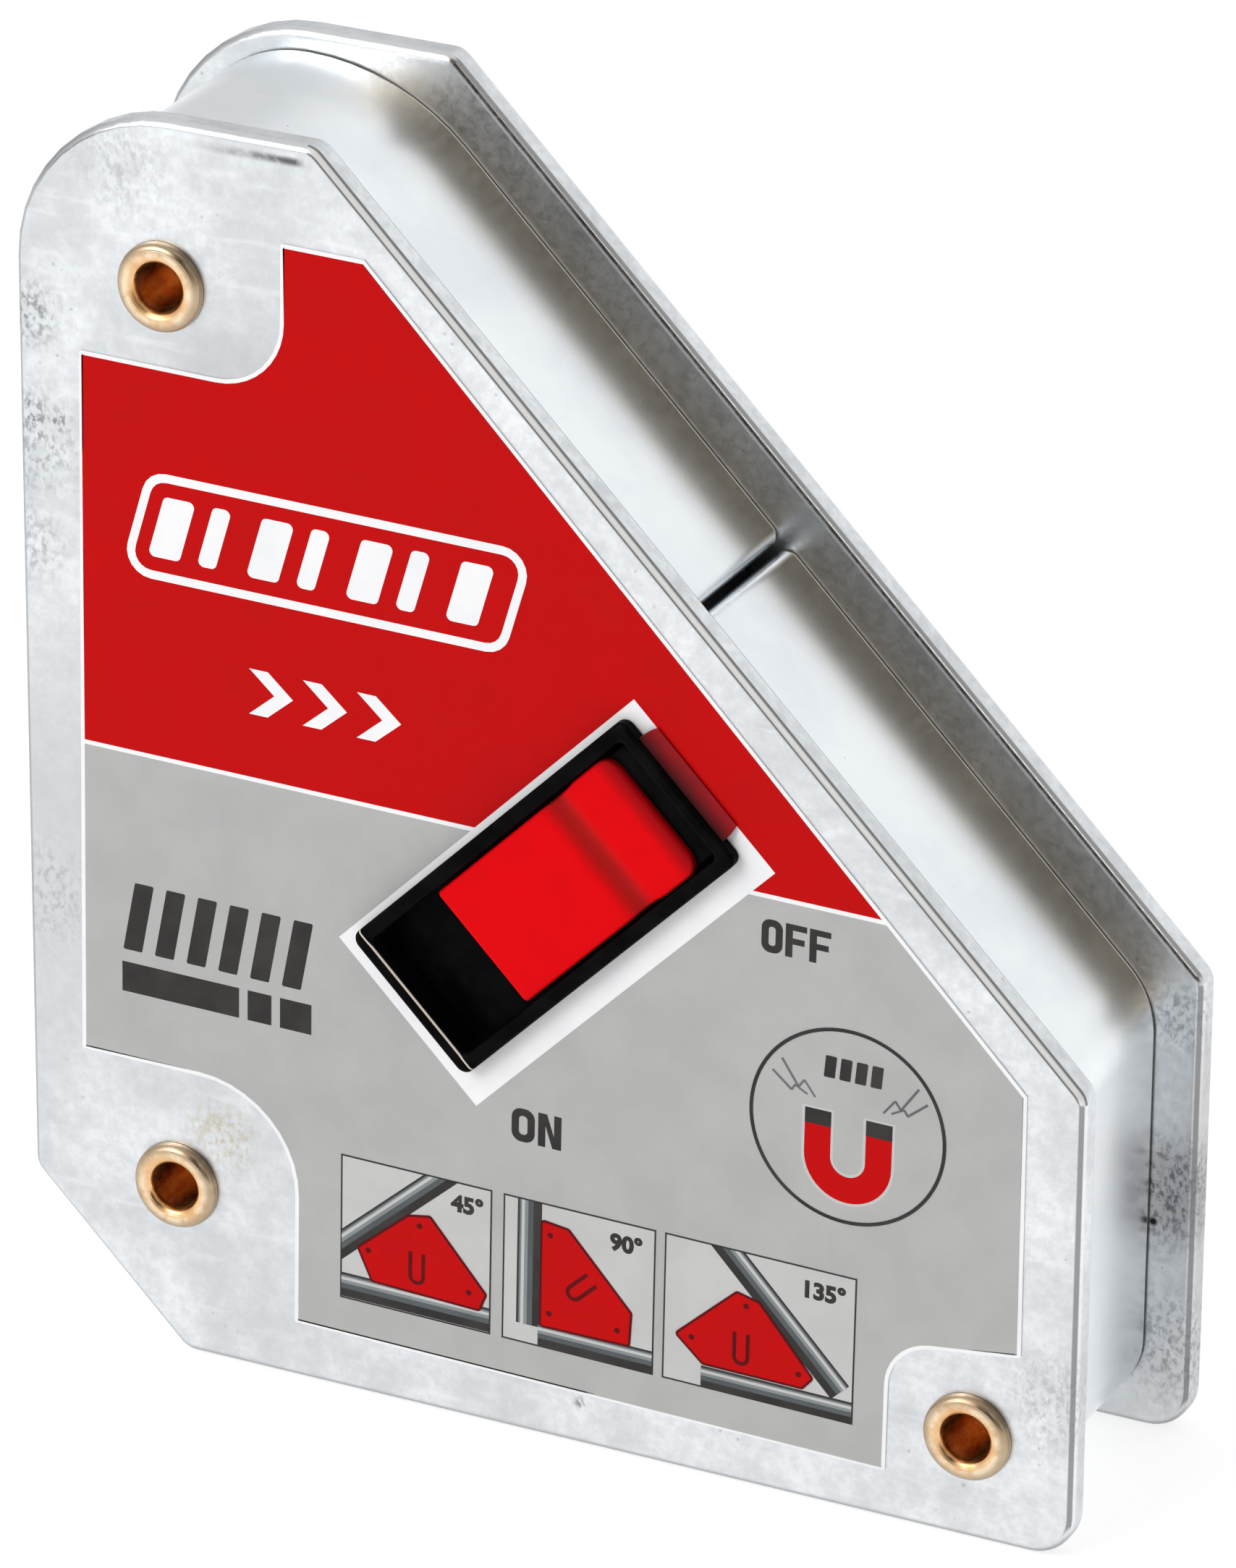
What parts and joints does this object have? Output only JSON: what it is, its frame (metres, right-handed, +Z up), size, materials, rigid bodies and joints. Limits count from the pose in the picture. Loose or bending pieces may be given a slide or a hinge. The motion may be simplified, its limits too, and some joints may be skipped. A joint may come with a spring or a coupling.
{
  "type": "switchable welding magnet holder",
  "caption": "Angled welding magnet holder: steel pole plates on a bent metal wall with tubular rivets, and a red slide switch at 45 degrees that turns the pull on and off.",
  "frame": {"origin": "centre of the bounding box's underside, where the lower edges of both plates rest", "axes": "+Z up from the lower edge; +X towards the right edge, seen from the switch side; +Y from the switch side to the back"},
  "size_m": [0.095, 0.0292, 0.1094],
  "materials": {
    "zinc_plate": "zinc-plated steel with a mottled satin sheen, rounded arrises, fine scratches and small dark specks",
    "bright_wall": "smooth bright plated strip with soft bend lines",
    "brass": "rolled brass tube, burnished flange and dark bore",
    "machined_steel": "plain cut low-carbon steel, lightly oiled",
    "spring_steel": "bright rolled spring strip",
    "ferrite": "sintered ferrite, dark grey and matt with ground pole faces",
    "tray_plastic": "moulded black nylon, fine texture",
    "carrier_plastic": "moulded grey acetal",
    "black_plastic": "moulded black plastic with a polished rim",
    "red_plastic": "moulded bright red plastic, softly polished",
    "label_film": "printed film in red and grey with white border lines, under a satin laminate"
  },
  "bodies": {
    "housing": {"front_plate": "zinc_plate", "back_plate": "zinc_plate", "bent_wall": "bright_wall", "front_label": "label_film", "switch_bezel": "black_plastic", "magnet_tray": "tray_plastic", "detent_spring": "spring_steel", "rivet_upper_left": "brass", "spacer_upper_left": "machined_steel", "rivet_lower_left": "brass", "spacer_lower_left": "machined_steel", "rivet_lower_right": "brass", "spacer_lower_right": "machined_steel", "magnet_upper": "ferrite", "magnet_left": "ferrite", "magnet_lower_left": "ferrite", "magnet_bottom_left": "ferrite", "magnet_bottom_right": "ferrite", "magnet_right": "ferrite", "front_pole_rail_upper": "machined_steel", "front_pole_rail_lower": "machined_steel", "back_pole_rail_upper": "machined_steel", "back_pole_rail_lower": "machined_steel"},
    "slider": {"slide_block": "black_plastic", "red_grip": "red_plastic", "shunt_carrier": "carrier_plastic", "shunt_upper_1": "machined_steel", "shunt_upper_2": "machined_steel", "shunt_lower_1": "machined_steel", "shunt_lower_2": "machined_steel"}
  },
  "joints": [
    {"name": "switch_slide", "type": "slide", "parent": "housing", "child": "slider", "axis": [-0.7071, 0, -0.7071], "range_m": [0, 0.0076], "deforming": ["detent_spring"]}
  ]
}
